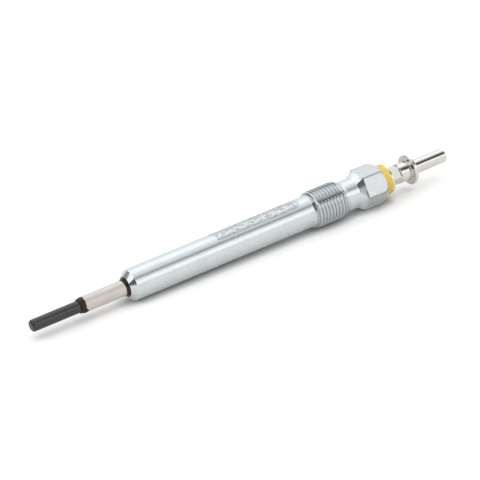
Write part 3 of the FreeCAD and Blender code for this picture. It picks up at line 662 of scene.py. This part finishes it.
class PLUG_OT_housing(bpy.types.Operator):
    """Plated housing: nose, body, thread, neck, collar and crowned hexagon round its bores"""
    bl_idname = "plug.housing"
    bl_label = "Housing"

    def execute(self, context):
        size = context.scene.plug_housing
        parts = [self.front(size), self.thread(size), self.rear(size)]
        piece = join_shell("plated_housing", parts)
        finish(piece, 24, zinc_material(size.hexagon_turn), ["housing"],
               size.hexagon_turn)
        return {"FINISHED"}

    def envelope(self, size, station):
        """Radius that the thread can't pass: crests, front chamfer and rear chamfer."""
        crest = size.thread_radius / MM
        front = (size.thread_middle - size.thread_length / 2) / MM
        rear = (size.thread_middle + size.thread_length / 2) / MM
        return min(crest, crest - (front - station) * math.tan(FRONT_CHAMFER),
                   crest - (station - rear) * math.tan(REAR_CHAMFER))

    def front(self, size):
        """Bores, mouth, seat and plain body, up to where the thread's grooves start."""
        nose, rim = size.nose / MM, size.nose_radius / MM
        body, end = size.body_radius / MM, size.body_end / MM
        seat_end = nose + body - rim
        tangent = SHOULDER_ROUND * math.tan(SEAT_TURN / 2)
        shoulder = arc((seat_end + tangent, body - SHOULDER_ROUND), SHOULDER_ROUND, 135, 90, 5)
        hollow = LEAD_IN_ROUND * math.tan(FRONT_CHAMFER / 2)
        lead_in = arc((end - hollow, body + LEAD_IN_ROUND), LEAD_IN_ROUND,
                      -90, -90 + math.degrees(FRONT_CHAMFER), 6)
        first = self.first_groove(size)
        rear, bush_depth, bore_front = size.hexagon_rear / MM, 7.4, 37.5
        bush_bore, bore, sleeve_bore, mouth = 3.3, 2.8, 2.12, 2.69
        points = [
            (rear, bush_bore), (rear - bush_depth, bush_bore), (rear - bush_depth, bore),
            (bore_front, bore), (bore_front, sleeve_bore), (nose + 0.6, sleeve_bore),
            (nose + 0.02, mouth), (nose, mouth + 0.04), (nose, rim - 0.04),
            (nose + 0.04, rim + 0.02),
            *shoulder,
            *cut_line((seat_end + tangent + 0.02, body), (lead_in[0][0], body), 48)[:-1],
            *lead_in,
            (first, self.envelope(size, first)),
        ]
        return turned("housing_front", points, size.columns)

    def first_groove(self, size):
        return size.body_end / MM + 0.3

    def last_groove(self, size):
        return (size.thread_middle + size.thread_length / 2) / MM + 1.6

    def thread(self, size):
        """One pitch of the thread's outline, wound by a Screw modifier and cut to the chamfers."""
        pitch, crest = size.pitch / MM, size.thread_radius / MM
        root = crest - THREAD_DEPTH * pitch
        hollow = THREAD_ROOT * pitch
        floor = arc((0, root + hollow), hollow, -30, -70, 2)
        rise = [(0.036, crest), (0.068, crest - 0.018), (0.22, crest + 0.108 - 0.22 * 1.732),
                *((0.5 * pitch - x, r) for x, r in floor)]
        line = ([(-0.5 * pitch, root)] + [(-x, r) for x, r in reversed(rise)]
                + rise + [(0.5 * pitch, root)])
        shift = self.first_groove(size) - 1.1 * pitch
        line = [(x + shift, r) for x, r in line]
        piece = start_chain("housing_thread", *line[0])
        draw_line(line)
        leave_edit_mode()
        winding = piece.modifiers.new("winding", "SCREW")
        winding.axis = "X"
        winding.angle = math.tau
        winding.screw_offset = pitch
        winding.iterations = 13
        winding.steps = winding.render_steps = size.columns
        winding.use_merge_vertices = True
        winding.merge_threshold = 0.0005
        pick(piece)
        bpy.ops.object.modifier_apply(modifier=winding.name)
        low, high = self.first_groove(size), self.last_groove(size)
        bpy.ops.object.mode_set(mode="EDIT")
        mesh = bmesh.from_edit_mesh(piece.data)
        for corner in mesh.verts:
            station = min(high, max(low, corner.co.x))
            angle = math.atan2(corner.co.z, corner.co.y)
            radius = math.hypot(corner.co.y, corner.co.z)
            radius = min(radius, self.envelope(size, station))
            if corner.co.x != station:
                radius = self.envelope(size, station)
            corner.co = (station, radius * math.cos(angle), radius * math.sin(angle))
        bmesh.update_edit_mesh(piece.data)
        tidy_shell()
        leave_edit_mode()
        return piece

    def rear(self, size):
        """Neck, collar, six flats and the crowned rear end."""
        crest, neck = size.thread_radius / MM, size.neck_radius / MM
        start = self.last_groove(size)
        rear_crest = (size.thread_middle + size.thread_length / 2) / MM
        neck_start = rear_crest + (crest - neck) / math.tan(REAR_CHAMFER)
        front, rear = size.hexagon_front / MM, size.hexagon_rear / MM
        neck_end = front - COLLAR_LENGTH
        flat = size.across_flats / MM / 2
        corner = flat / math.cos(SEXTANT / 2)
        face = flat - 0.05
        crown = rear - (corner - face) / math.tan(CROWN_SLOPE)
        middle = (rear * rear + face * face - crown * crown - corner * corner) / (rear - crown) / 2
        ball = math.hypot(rear - middle, face)
        inset = (flat - CORNER_ROUND) / math.cos(SEXTANT / 2)
        tangent = math.atan2(CORNER_ROUND / 2, inset + CORNER_ROUND * math.cos(SEXTANT / 2))

        def hexagon(angle):
            """Flats with rounded corners."""
            away = off_corner(angle)
            if away < tangent:
                aside = inset * math.sin(away)
                return inset * math.cos(away) + math.sqrt(CORNER_ROUND ** 2 - aside ** 2)
            return flat / math.cos(SEXTANT / 2 - away)

        def gathered(angle):
            """The columns moved closer together at the corners."""
            nearest = round(angle / SEXTANT) * SEXTANT
            away = (angle - nearest) / (SEXTANT / 2)
            return nearest + math.copysign(abs(away) ** 1.6, away) * SEXTANT / 2

        def meets(angle):
            return middle + math.sqrt(ball * ball - hexagon(angle) ** 2)

        def ring(share):
            def rule(angle):
                station = meets(angle) + (rear - meets(angle)) * share
                return station, math.sqrt(ball * ball - (station - middle) ** 2)
            return rule

        piece = start_ring("housing_rear", size.columns,
                           lambda angle: (start, self.envelope(size, start)))
        after = start + 0.05
        extend_ring(lambda angle: (after, self.envelope(size, after), gathered(angle)))
        extend_round([(neck_start - 0.12, neck + 0.05), (neck_start - 0.03, neck + 0.012),
                      (neck_start + 0.08, neck), (neck_start + 1.2, neck),
                      (neck_end - 1.0, neck), (neck_end - 0.06, neck)])
        for share in (0.0, 0.04, 0.25, 0.5, 0.75, 0.96, 1.0):
            extend_ring(lambda angle: (neck_end + (front - neck_end) * share,
                                       neck + (hexagon(angle) - neck) * share))
        for share in (0.02, 0.3, 0.6, 0.9, 1.0):
            extend_ring(lambda angle: (front + (meets(angle) - front) * share, hexagon(angle)))
        for step in range(1, 9):
            extend_ring(ring(step / 8))
        extend_round([(rear, face - 0.06), (rear, 3.34), (rear, 3.3)])
        leave_edit_mode()
        return piece


class PLUG_OT_heater(bpy.types.Operator):
    """Ground ceramic rod with its rounded tip, and the satin sleeve that holds it"""
    bl_idname = "plug.heater"
    bl_label = "Heating rod and sleeve"

    def execute(self, context):
        size = context.scene.plug_heater
        radius, end, tip = size.rod_radius / MM, size.rod_length / MM, size.tip_round / MM
        rod = turned("ground_rod", [
            (0, 0), (0, (radius - tip) / 2), *arc((tip, radius - tip), tip, 180, 90, 8),
            *cut_line((tip + 0.05, radius), (end - 0.1, radius), 24),
            (end, radius - 0.1), (end, 0)], 96)
        finish(rod, 40, ceramic_material(), ["ceramic_rod"])
        outer, wall = size.sleeve_radius / MM, size.sleeve_wall / MM
        front, rear = size.sleeve_front / MM, size.sleeve_rear / MM
        sleeve = turned("satin_sleeve", [
            (front, outer - wall), (front, outer - 0.08),
            *arc((front + 0.08, outer - 0.08), 0.08, 180, 90, 4),
            *cut_line((front + 0.12, outer), (rear - 0.12, outer), 16), (rear, outer - 0.12),
            (rear, outer - wall), (front, outer - wall)], 128)
        finish(sleeve, 40, sleeve_material(), ["heater_sleeve"])
        return {"FINISHED"}


class PLUG_OT_braze(bpy.types.Operator):
    """Uneven bead where the rod enters the sleeve, and the ring in the mouth of the nose"""
    bl_idname = "plug.braze"
    bl_label = "Braze"

    def execute(self, context):
        size = context.scene.plug_heater
        self.bead(size)
        self.ring(size, context.scene.plug_housing)
        return {"FINISHED"}

    def wave(self, angle, lobes):
        """Uneven edge: a few sine lobes round the axis, as (count, phase, height)."""
        return sum(height * math.sin(count * angle + phase) for count, phase, height in lobes)

    def bead(self, size):
        """Bead on the sleeve's front end, with a film between rod and sleeve."""
        inner = size.rod_radius / MM + 0.02
        outer, front = size.sleeve_radius / MM, size.sleeve_front / MM
        bead_length = 1.1
        face = front - bead_length
        ragged = [(2, 0.4, 0.10), (3, 2.1, 0.12), (5, 1.0, 0.07), (9, 0.2, 0.03)]

        def edge(angle, share=1.0):
            return front + 0.02 + share * (0.45 + self.wave(angle, ragged) * 1.6)

        start_ring("braze_bead", 144, lambda angle: (face + 0.03, inner))
        for height, back in ((0.06, 0.0), (0.20, 0.02), (0.27, 0.10), (0.33, 0.30), (0.40, 0.6)):
            extend_ring(lambda angle: (
                face + back + self.wave(angle, ragged) * 0.25,
                inner - 0.02 + height + self.wave(angle + back, ragged) * 0.05))
        for share in (0.0, 0.3, 0.6, 0.85, 1.0):
            extend_ring(lambda angle: (
                edge(angle, share), outer + 0.045 * math.cos(share * 1.5) + 0.004))
        extend_ring(lambda angle: (edge(angle), outer + 0.001))
        rear = size.sleeve_rear / MM
        extend_round([(front - 0.02, outer + 0.001), (front - 0.02, inner + 0.06),
                      (rear, inner + 0.06), (rear, inner), (face + 0.03, inner)])
        tidy_shell()
        finish(bpy.context.object, 50, braze_material(), ["rod_braze"])

    def ring(self, size, housing):
        """Meniscus between the sleeve and the mouth of the nose."""
        outer, nose = size.sleeve_radius / MM, housing.nose / MM
        ragged = [(2, 1.4, 0.06), (3, 0.3, 0.05), (7, 2.0, 0.03)]

        def tip(angle):
            return nose - 0.9 + self.wave(angle, ragged), outer + 0.012

        start_ring("nose_braze_ring", 144, tip)
        curve = ((-0.88, 0.05), (-0.6, 0.16), (-0.3, 0.30), (-0.12, 0.42), (-0.04, 0.54))
        for back, height in curve:
            extend_ring(lambda angle: (nose + back + self.wave(angle, ragged) * 0.4,
                                       outer + height + self.wave(angle, ragged) * 0.2))
        extend_round([(nose - 0.01, 2.67), (nose + 0.55, outer + 0.03),
                      (nose + 0.55, outer + 0.012)])
        extend_ring(tip)
        tidy_shell()
        finish(bpy.context.object, 50, braze_material(), ["nose_braze"])


class PLUG_OT_bush(bpy.types.Operator):
    """Yellow insulating bush: flange behind the hexagon and shank inside it"""
    bl_idname = "plug.bush"
    bl_label = "Insulating bush"

    def execute(self, context):
        size, hole = context.scene.plug_terminal, context.scene.plug_terminal.fit_radius / MM
        front = context.scene.plug_housing.hexagon_rear / MM + 0.02
        rear, rim = front + size.bush_thickness / MM, size.bush_radius / MM
        piece = turned("moulded_bush", [
            (front - 3.8, hole), (front - 3.8, 3.2), (front - 3.72, 3.28), (front, 3.28),
            (front, rim - 0.1), *arc((front + 0.1, rim - 0.1), 0.1, 180, 90, 4),
            *cut_line((front + 0.15, rim), (rear - 0.25, rim), 4),
            *arc((rear - 0.2, rim - 0.2), 0.2, 90, 0, 5), (rear, hole), (front - 3.8, hole)], 144)
        finish(piece, 40, bush_material(), ["insulating_bush"])
        return {"FINISHED"}


class PLUG_OT_washer(bpy.types.Operator):
    """Thin bright washer between the bush and the terminal"""
    bl_idname = "plug.washer"
    bl_label = "Washer"

    def execute(self, context):
        size, hole = context.scene.plug_terminal, context.scene.plug_terminal.fit_radius / MM
        front = (context.scene.plug_housing.hexagon_rear + size.bush_thickness) / MM + 0.02
        rear, rim = front + size.washer_thickness / MM, size.washer_radius / MM
        piece = turned("plated_washer", [
            (front, hole), (front, rim - 0.09), *arc((front + 0.09, rim - 0.09), 0.09, 180, 90, 4),
            *arc((rear - 0.14, rim - 0.14), 0.14, 90, 0, 4), (rear, hole), (front, hole)], 144)
        finish(piece, 40, nickel_material(), ["terminal_washer"])
        return {"FINISHED"}


class PLUG_OT_terminal(bpy.types.Operator):
    """Terminal in one piece: crimped barrel, round flange and plug-in pin"""
    bl_idname = "plug.terminal"
    bl_label = "Terminal"
    bore_depth = 5.7

    def execute(self, context):
        size = context.scene.plug_terminal
        start = (context.scene.plug_housing.hexagon_rear + size.bush_thickness
                 + size.washer_thickness) / MM + 0.02
        barrel, across = size.barrel_radius / MM, size.crimp_across / MM / 2
        flange = start + size.barrel_length / MM
        back = flange + size.flange_thickness / MM
        end = back + size.pin_length / MM
        rim, pin, hole = size.flange_radius / MM, size.pin_radius / MM, size.fit_radius / MM
        before_dies, die_width, slope = 0.75, 2.3, 0.55
        first = start + before_dies
        last = first + die_width

        def crimped(station):
            """Distance of the die's face from the axis at a station."""
            short = max(first - station, station - last, 0.0)
            run_out = 1 - math.cos(min(1, short / slope) * math.pi / 2)
            return across + (barrel - across) * run_out * 1.02

        def barrel_rule(station):
            def rule(angle):
                face = crimped(station) / math.cos(SEXTANT / 2 - off_corner(angle))
                return station, blend_least(barrel, face, 0.06)
            return rule

        piece = start_ring("plated_terminal", 192, lambda angle: (start, hole))
        extend_round([(start, barrel - 0.12),
                      *arc((start + 0.1, barrel - 0.1), 0.1, 180, 90, 3)[:-1]])
        stations = [start + 0.1 + 0.05 * i for i in range(80)]
        for station in stations:
            extend_ring(barrel_rule(station))
        extend_round([
            *cut_line((stations[-1] + 0.1, barrel), (flange - 0.2, barrel), 6),
            *arc((flange - 0.15, barrel + 0.15), 0.15, -90, 0, 4),
            (flange, rim - 0.3), *arc((flange + 0.28, rim - 0.28), 0.28, 180, 90, 6),
            *arc((back - 0.28, rim - 0.28), 0.28, 90, 0, 6), (back, pin + 0.14),
            *arc((back + 0.12, pin + 0.12), 0.12, 180, 270, 4),
            *cut_line((back + 0.2, pin), (end - 0.5, pin), 10),
            *arc((end - 0.45, pin - 0.45), 0.45, 90, 0, 7), (end, 0.7), (end, 0.0)])
        self.bore(piece, start, hole)
        tidy_shell()
        finish(piece, 32, nickel_material(), ["terminal_pin"])
        return {"FINISHED"}

    def bore(self, piece, start, hole):
        """Blind bore for the centre rod, from the ring that the piece was started with."""
        bpy.ops.mesh.select_all(action="DESELECT")
        mesh = bmesh.from_edit_mesh(piece.data)
        for corner in mesh.verts:
            if abs(corner.co.x - start) < 1e-4 and corner.co.yz.length < hole + 1e-3:
                corner.select = True
        mesh.select_flush(True)
        bmesh.update_edit_mesh(piece.data)
        extend_round([(start + self.bore_depth, hole), (start + self.bore_depth, 0.0)])


class PLUG_OT_inner(bpy.types.Operator):
    """Finishes of the pieces inside the housing, which keep their solids' shapes"""
    bl_idname = "plug.inner"
    bl_label = "Inner pieces"

    def execute(self, context):
        colours = context.scene.plug_colours
        ring = plain_metal("turned_steel", colours.sleeve, 0.3)
        ceramic = plain_soft("conductive_ceramic", (0.10, 0.10, 0.11), 0.5)
        lead = plain_metal("lead_wire", (0.42, 0.42, 0.44), 0.35)
        wire_metal = plain_metal("drawn_nickel_wire", colours.nickel, 0.2)
        steel = plain_metal("drawn_steel", colours.steel, 0.28)
        plastic = plain_soft("tube_plastic", colours.tube, 0.45)
        rubber = plain_soft("seal_rubber", colours.rubber, 0.6)
        finishes = {
            "contact_ring": ring, "heating_element": ceramic, "supply_electrode": ceramic,
            "ground_electrode": ceramic, "supply_lead": lead, "ground_lead": lead,
            "connecting_coil": wire_metal, "centre_rod": steel, "insulating_tube": plastic,
            "centring_ring": plastic, "seal_ring_front": rubber, "seal_ring_rear": rubber,
        }
        for name, look in finishes.items():
            node = frame["nodes"][name]
            if not node.material_slots:
                raise RuntimeError(f"{name} has no material slot")
            for slot in node.material_slots:
                slot.material = look
        return {"FINISHED"}


# How brightly metal mirrors the floor, and how far the painted contact shadow on it reaches and
# how dark it is
FLOOR_IN_METAL, CONTACT_REACH, CONTACT_SHADE = 0.12, 3.4 * MM, (0.28, 0.28, 0.28)
# Light that falls on all but reflections, and the strength of the whole world
EVEN_LIGHT, WORLD_STRENGTH = (0.95, 0.95, 0.95), 1.15
WHITE = (1, 1, 1)
# Camera: its bearing, height and roll in degrees, its place in metres, and its lens in pixels
CAMERA_ANGLES = (-30.105, 24.359, 8.312)
CAMERA_PLACE = (-0.43457, -0.74781, 0.39590)
FOCAL_PIXELS, PICTURE_PIXELS, SENSOR = 3700, 480, 36


class PLUG_OT_stage(bpy.types.Operator):
    """Pale floor, soft studio light and the camera"""
    bl_idname = "plug.stage"
    bl_label = "Stage"

    def execute(self, context):
        self.floor()
        self.surroundings(context.scene)
        self.lamps()
        self.camera(context.scene)
        context.scene.view_settings.view_transform = "Standard"
        return {"FINISHED"}

    def floor(self):
        drop_all()
        bpy.ops.mesh.primitive_grid_add(x_subdivisions=8, y_subdivisions=8, size=6)
        floor = bpy.context.object
        floor.name = "studio_floor"
        material = bpy.data.materials.new("pale_floor")
        material.use_nodes = True
        tree = material.node_tree
        tree.nodes.clear()
        matt = add(tree, "ShaderNodeBsdfDiffuse")
        glow = add(tree, "ShaderNodeEmission")
        path = add(tree, "ShaderNodeLightPath")
        wire(tree, times(tree, (path, IS_GLOSSY), FLOOR_IN_METAL), glow, 0, 1)
        # painted contact shadow: white, but darker where the plug comes within a few millimetres
        contact = add(tree, "ShaderNodeAmbientOcclusion", in_1=CONTACT_REACH)
        clear = step_up(tree, contact, 0.0, 0.80, 1)
        seen = blend_colour(tree, clear, CONTACT_SHADE, WHITE)
        wire(tree, blend_colour(tree, path, bpy.context.scene.plug_colours.floor, seen), matt, 2)
        # metal mirrors it as a little glow
        both = add(tree, "ShaderNodeAddShader")
        wire(tree, matt, both, 0, 0)
        wire(tree, glow, both, 0, 1)
        out = add(tree, "ShaderNodeOutputMaterial")
        wire(tree, both, out)
        floor.data.materials.append(material)

    def surroundings(self, scene):
        """Soft boxes and the gaps between them, by direction."""
        world = bpy.data.worlds.new("studio")
        scene.world = world
        world.use_nodes = True
        tree = world.node_tree
        tree.nodes.clear()
        parts = split(tree, add(tree, "ShaderNodeTexCoord"))
        bearing = maths(tree, "ARCTAN2", (parts, 2), times(tree, (parts, 1), -1.0))
        turn = plus(tree, maths(tree, "DIVIDE", bearing, math.tau), 0.5)

        def around(stops):
            """Ramp round the plug's axis: 0 degrees is level in front, 90 is straight up."""
            return ramp(tree, turn, [(0.5 + degrees / 360, colour) for degrees, colour in stops])

        sides = around([
            (-180, (0.70, 0.73, 0.75)), (-66, (0.50, 0.52, 0.52)), (0, (0.62, 0.64, 0.64)),
            (15, (0.86, 0.88, 0.88)), (21, 1.0), (36, 1.0), (47, (0.90, 0.92, 0.92)),
            (52, (0.32, 0.33, 0.33)), (60, (0.34, 0.35, 0.35)), (65, (0.72, 0.75, 0.76)),
            (73, (0.74, 0.78, 0.80)), (88, (0.64, 0.69, 0.72)), (99, (0.86, 0.90, 0.92)),
            (107, (0.96, 1.0, 1.0)), (130, (0.97, 1.0, 1.0)), (146, (0.74, 0.78, 0.80)),
            (180, (0.70, 0.73, 0.75))])
        # the side that the nose faces: a dark flag low in front, white above, grey behind
        nose_side = around([
            (-30, 0.35), (6, 0.50), (16, 0.10), (66, 0.08), (78, 0.90), (118, 0.95),
            (132, (0.24, 0.28, 0.26)), (158, (0.20, 0.24, 0.22)), (180, 0.4)])
        panels = blend_colour(tree, step_up(tree, parts, -0.25, -0.45), sides, nose_side)
        # gap between the boxes, only as long as sharp surfaces along the axis see
        gap = around([(29, 0.0), (41, 1.0), (70, 1.0), (85, 0.0)])
        away = maths(tree, "ABSOLUTE", minus(tree, (parts, 0), 0.505))
        dark = times(tree, gap, step_up(tree, away, 0.10, 0.06))
        whole = blend_colour(tree, dark, panels, (0.07, 0.07, 0.07))
        # only reflections see the boxes; all else is lit evenly from every side
        path = add(tree, "ShaderNodeLightPath")
        mirrored = blend_colour(tree, (path, IS_GLOSSY), EVEN_LIGHT, whole)
        shown = blend_colour(tree, path, mirrored, WHITE)
        sky = add(tree, "ShaderNodeBackground", in_1=WORLD_STRENGTH)
        wire(tree, shown, sky, 2, 0)
        out = add(tree, "ShaderNodeOutputWorld")
        wire(tree, sky, out)

    def lamps(self):
        """One wide soft lamp overhead, left out of reflections, for the shadow on the floor."""
        drop_all()
        bpy.ops.object.light_add(type="AREA", location=(0.0, 0.06, 0.9), rotation=(-0.07, 0, 0))
        lamp = bpy.context.object
        lamp.name = "overhead_softbox"
        lamp.data.shape = "SQUARE"
        lamp.data.size = 1.6
        lamp.data.energy = 1.0
        lamp.visible_glossy = False

    def camera(self, scene):
        bearing, height, roll = (math.radians(angle) for angle in CAMERA_ANGLES)
        back = Vector((math.sin(bearing) * math.cos(height), -math.cos(bearing) * math.cos(height),
                       math.sin(height)))
        right = Vector((math.cos(bearing), math.sin(bearing), 0))
        up = back.cross(right)
        side = math.cos(roll) * right - math.sin(roll) * up
        top = math.sin(roll) * right + math.cos(roll) * up
        drop_all()
        bpy.ops.object.camera_add()
        camera = bpy.context.object
        camera.name = "studio_camera"
        pose = Matrix((side, top, back)).transposed().to_4x4()
        pose.translation = Vector(CAMERA_PLACE)
        camera.matrix_world = pose
        camera.data.sensor_width = SENSOR
        camera.data.lens = FOCAL_PIXELS / PICTURE_PIXELS * SENSOR
        camera.data.clip_start = 0.01
        scene.camera = camera


class PLUG_PT_panel(bpy.types.Panel):
    """Buttons for the pieces, and the sizes and colours"""
    bl_idname = "PLUG_PT_panel"
    bl_label = "Glow plug"
    bl_space_type = "VIEW_3D"
    bl_region_type = "UI"
    bl_category = "Glow plug"

    def draw(self, context):
        column = self.layout.column()
        for operator in OPERATORS:
            column.operator(operator.bl_idname)
        for group in (context.scene.plug_housing, context.scene.plug_heater,
                      context.scene.plug_terminal, context.scene.plug_colours):
            box = self.layout.box()
            for name in group.__annotations__:
                box.prop(group, name)


OPERATORS = (PLUG_OT_housing, PLUG_OT_heater, PLUG_OT_braze, PLUG_OT_bush, PLUG_OT_washer,
             PLUG_OT_terminal, PLUG_OT_inner, PLUG_OT_stage)
GROUPS = {
    "plug_housing": PlugHousingSizes,
    "plug_heater": PlugHeaterSizes,
    "plug_terminal": PlugTerminalSizes,
    "plug_colours": PlugColours,
}


def register():
    for name, group in GROUPS.items():
        bpy.utils.register_class(group)
        setattr(bpy.types.Scene, name, PointerProperty(type=group))
    for item in (*OPERATORS, PLUG_PT_panel):
        bpy.utils.register_class(item)


def unregister():
    for item in reversed((*OPERATORS, PLUG_PT_panel)):
        bpy.utils.unregister_class(item)
    for name, group in GROUPS.items():
        delattr(bpy.types.Scene, name)
        bpy.utils.unregister_class(group)


def main():
    register()
    bpy.ops.plug.housing()
    bpy.ops.plug.heater()
    bpy.ops.plug.braze()
    bpy.ops.plug.bush()
    bpy.ops.plug.washer()
    bpy.ops.plug.terminal()
    bpy.ops.plug.inner()
    bpy.ops.plug.stage()


if __name__ == "__main__":
    main()
